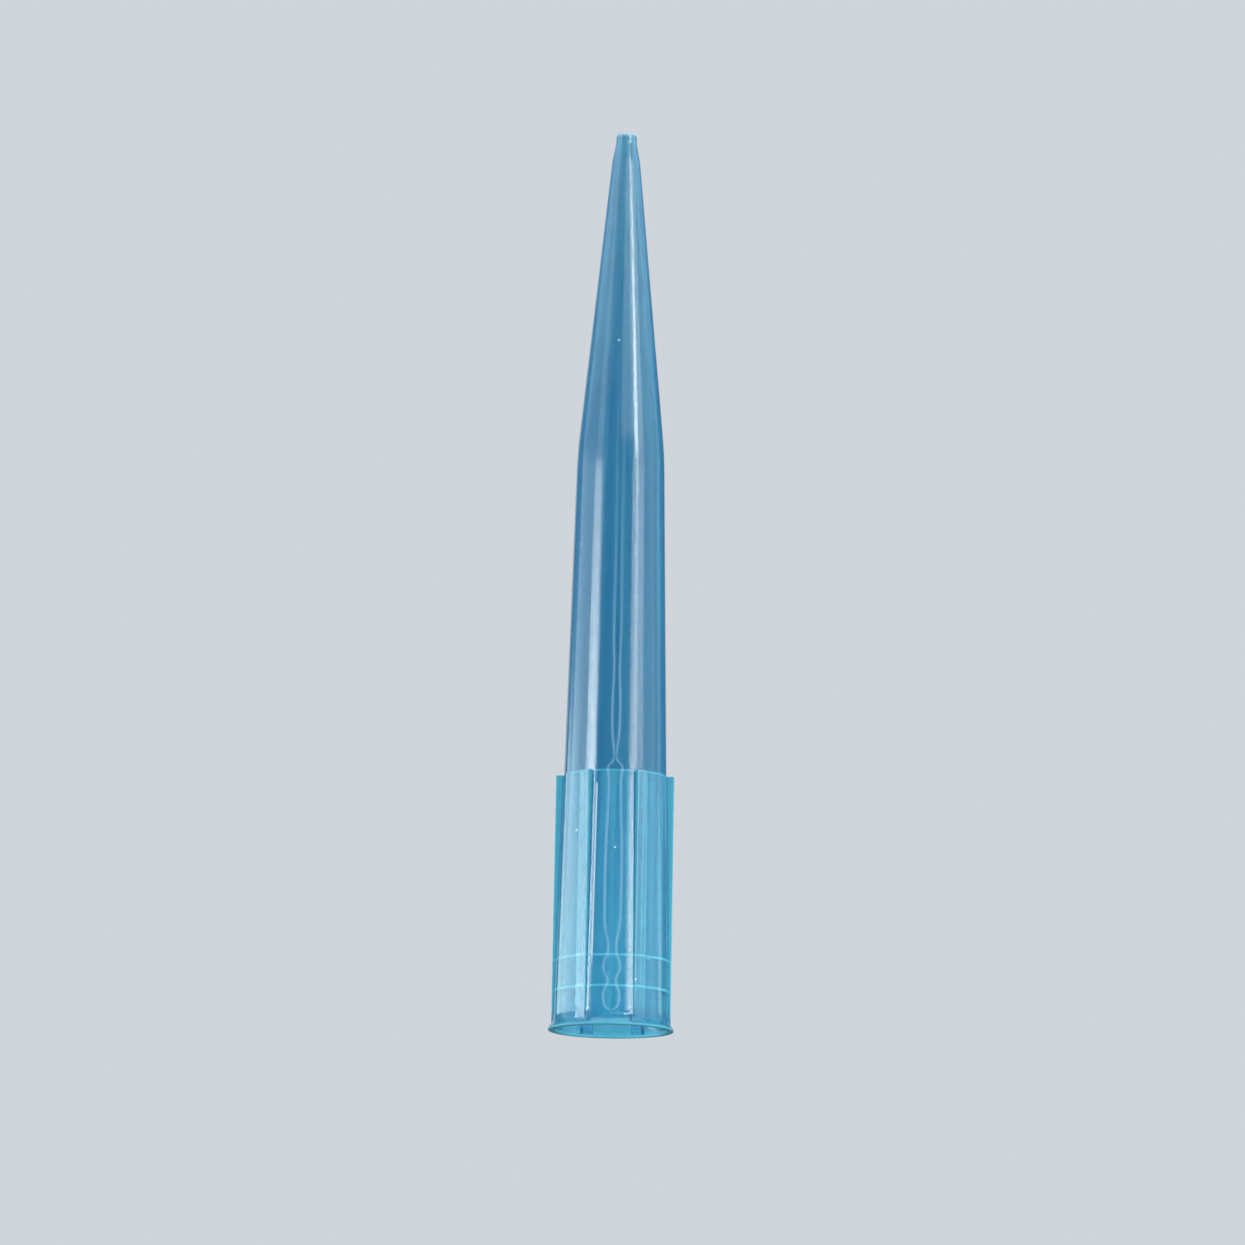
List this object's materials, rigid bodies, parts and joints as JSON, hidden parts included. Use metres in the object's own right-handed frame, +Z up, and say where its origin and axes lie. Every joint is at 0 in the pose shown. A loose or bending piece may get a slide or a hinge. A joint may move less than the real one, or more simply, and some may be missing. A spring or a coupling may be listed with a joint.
{
  "type": "pipette tip",
  "caption": "Slender hollow tip for an air-displacement pipette: ribbed collar with a push-on socket, straight tube and long tapered nose.",
  "frame": {"origin": "centre of the mouth plane, the face that the tip stands on", "axes": "+Z up the tip's axis, from the mouth to the narrow end; +X close to one of the collar's ribs"},
  "size_m": [0.0098, 0.0098, 0.071],
  "materials": {
    "polypropylene": "translucent blue polypropylene, glossy as moulded"
  },
  "bodies": {
    "root": {"pipette_tip": "polypropylene"}
  },
  "joints": []
}
